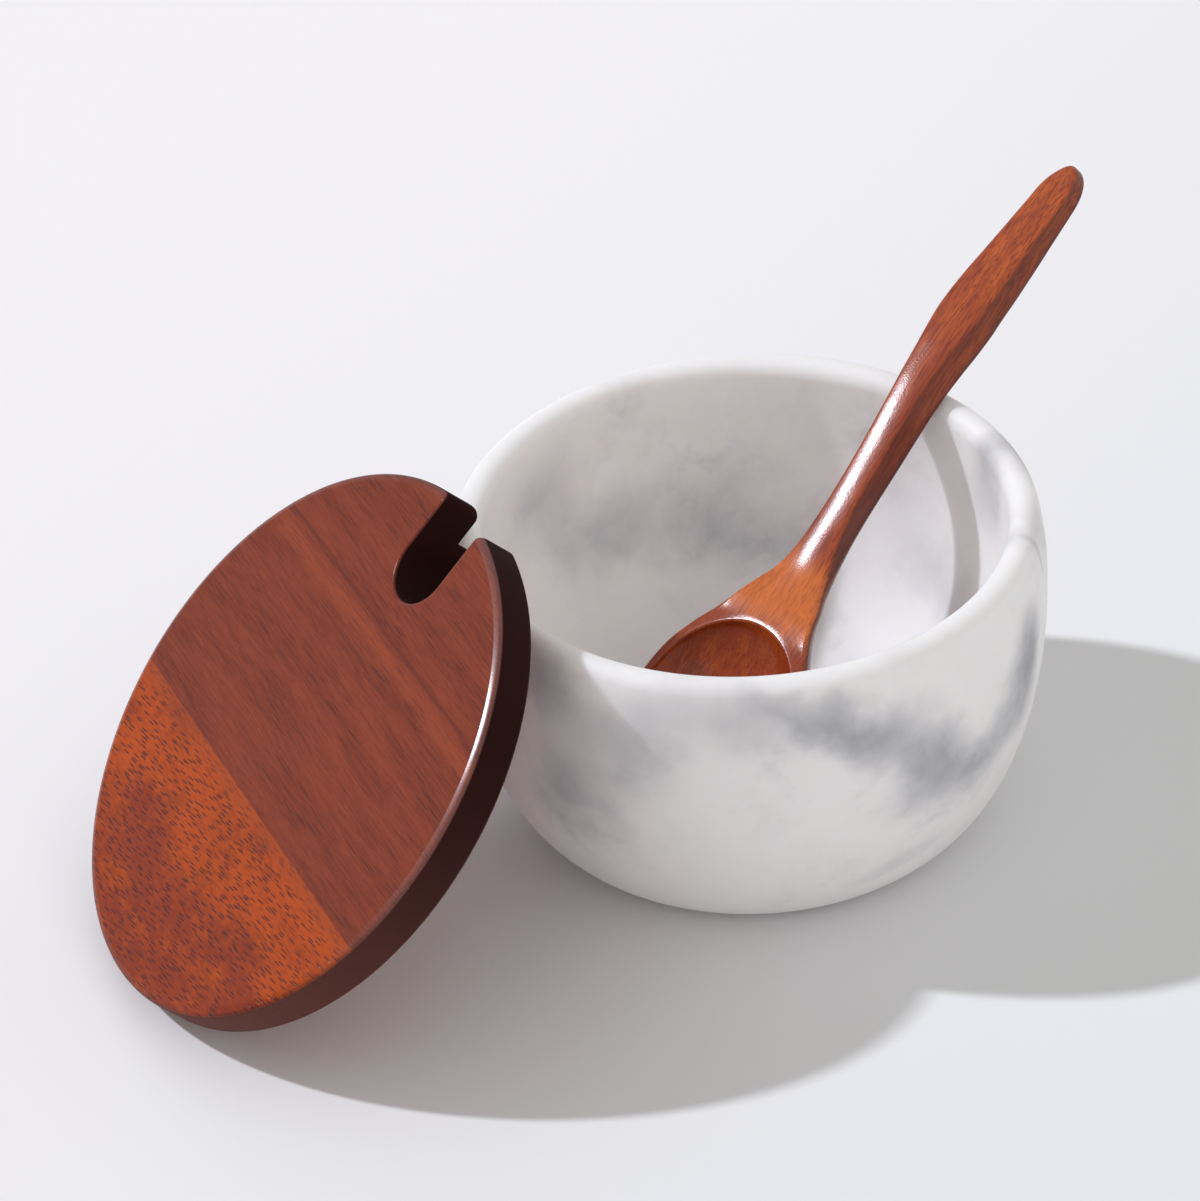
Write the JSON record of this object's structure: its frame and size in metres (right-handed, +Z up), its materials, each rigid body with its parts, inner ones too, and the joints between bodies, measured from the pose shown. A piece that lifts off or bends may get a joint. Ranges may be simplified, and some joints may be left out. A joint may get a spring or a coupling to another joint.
{
  "type": "salt cellar",
  "caption": "Round marble salt bowl with a slotted wooden lid leaning on its rim and a carved wooden spoon standing in it.",
  "frame": {"origin": "centre of the bowl's foot, on the surface that the bowl stands on", "axes": "+Z up along the bowl's axis; -Y faces the viewer of the front view; the lid leans on the bowl's -X side and the spoon's handle rises towards +X and +Y"},
  "size_m": [0.1745, 0.136, 0.0866],
  "materials": {
    "marble": "honed",
    "lid_dark_wood": "satin",
    "lid_light_wood": "satin",
    "spoon_wood": "gloss"
  },
  "bodies": {
    "bowl": {"bowl": "marble"},
    "lid": {"lid_main_board": "lid_dark_wood", "lid_side_board": "lid_light_wood"},
    "spoon": {"spoon": "spoon_wood"}
  },
  "joints": [
    {"name": "lid_lift", "type": "slide", "parent": "bowl", "child": "lid", "axis": [0, 0, 1], "range_m": [0, 0.06]},
    {"name": "spoon_lift", "type": "slide", "parent": "bowl", "child": "spoon", "axis": [0, 0, 1], "range_m": [0, 0.06]}
  ]
}
